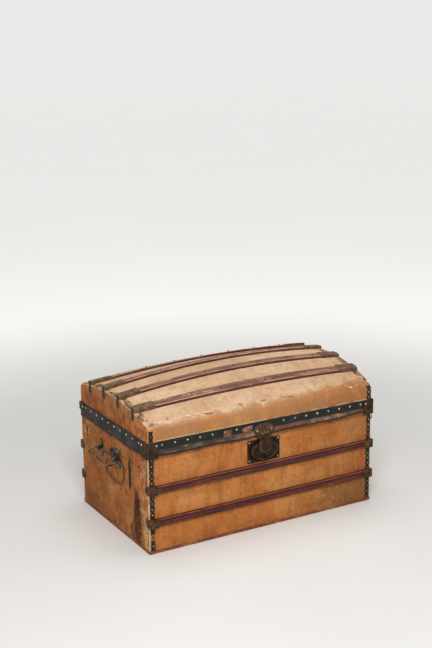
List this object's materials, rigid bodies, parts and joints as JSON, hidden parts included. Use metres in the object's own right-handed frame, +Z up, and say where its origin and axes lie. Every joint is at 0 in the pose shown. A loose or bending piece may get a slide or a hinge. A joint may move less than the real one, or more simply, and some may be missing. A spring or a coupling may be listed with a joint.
{
  "type": "dome top trunk",
  "caption": "Dome-top travelling trunk: canvas over boards, wooden slats with iron clamps, hinged bowed lid with dust flap, lock with hinged hasp and wire bail handles on both ends.",
  "frame": {"origin": "middle of the carcass footprint, on the surface it stands on", "axes": "+Z up, +X along the length of the trunk to the right end seen from the front, -Y towards the front with the lock"},
  "size_m": [0.8314, 0.4748, 0.4455],
  "materials": {
    "canvas": "worn tan painted canvas",
    "board": "plain sawn boards",
    "lining": "old paper-backed cloth lining",
    "edging": "worn reddish edge binding",
    "slat": "dark red-brown varnished wood",
    "dome_slat": "faded red-brown wood",
    "clamp": "dull grey-brown sheet iron",
    "strip": "black studded strip",
    "band": "green-black nailed band",
    "flap": "worn grey leather",
    "cap": "dark brown corner leather",
    "nail": "rubbed iron nail heads",
    "lock": "dark bronze",
    "hinge": "dark forged iron",
    "handle": "rusty dark iron",
    "thong": "dark brown thong"
  },
  "bodies": {
    "trunk": {"bottom_board": "board", "front_board": "board", "back_board": "board", "left_end_board": "board", "right_end_board": "board", "body_canvas": "canvas", "body_lining": "lining", "bottom_edging": "edging", "front_upper_slat": "slat", "front_lower_slat": "slat", "back_upper_slat": "slat", "back_lower_slat": "slat", "body_slat_clamps": "clamp", "front_corner_strips": "strip", "back_corner_strips": "strip", "front_slat_nails": "nail", "back_slat_nails": "nail", "lock_plate": "lock", "lock_nails": "nail", "lock_case": "lock", "left_hinge_body_leaf": "hinge", "right_hinge_body_leaf": "hinge", "hinge_pins": "hinge", "left_front_handle_bracket": "handle", "left_back_handle_bracket": "handle", "right_front_handle_bracket": "handle", "right_back_handle_bracket": "handle", "handle_nails": "nail", "hanging_thong": "thong", "thong_nails": "nail"},
    "lid": {"lid_canvas": "canvas", "lid_front_rail": "board", "lid_back_rail": "board", "dome_boards": "board", "lid_left_end": "board", "lid_right_end": "board", "lid_lining": "lining", "dome_front_outer_slat": "dome_slat", "dome_front_inner_slat": "dome_slat", "dome_back_inner_slat": "dome_slat", "dome_back_outer_slat": "dome_slat", "dome_slat_clamps": "clamp", "dome_end_binding": "strip", "dome_slat_nails": "nail", "lid_corner_strips": "strip", "lid_band": "band", "front_dust_flap": "flap", "left_dust_flap": "flap", "right_dust_flap": "flap", "corner_caps": "cap", "band_nails": "nail", "hasp_plate": "lock", "hasp_pin": "lock", "hasp_rivets": "nail", "left_hinge_lid_leaf": "hinge", "right_hinge_lid_leaf": "hinge"},
    "hasp": {"hasp_tongue": "lock"},
    "left_handle": {"left_bail": "handle"},
    "right_handle": {"right_bail": "handle"}
  },
  "joints": [
    {"name": "lid_hinge", "type": "hinge", "parent": "trunk", "child": "lid", "pos_m": [0, 0.2255, 0.3], "axis": [-1, 0, 0], "range_deg": [0, 100]},
    {"name": "hasp_hinge", "type": "hinge", "parent": "lid", "child": "hasp", "pos_m": [-0.0075, -0.2279, 0.277], "axis": [-1, 0, 0], "range_deg": [0, 120]},
    {"name": "left_handle_hinge", "type": "hinge", "parent": "trunk", "child": "left_handle", "pos_m": [-0.384, 0.022, 0.221], "axis": [0, 1, 0], "range_deg": [-60, 105]},
    {"name": "right_handle_hinge", "type": "hinge", "parent": "trunk", "child": "right_handle", "pos_m": [0.384, 0.022, 0.221], "axis": [0, -1, 0], "range_deg": [-60, 105]}
  ]
}
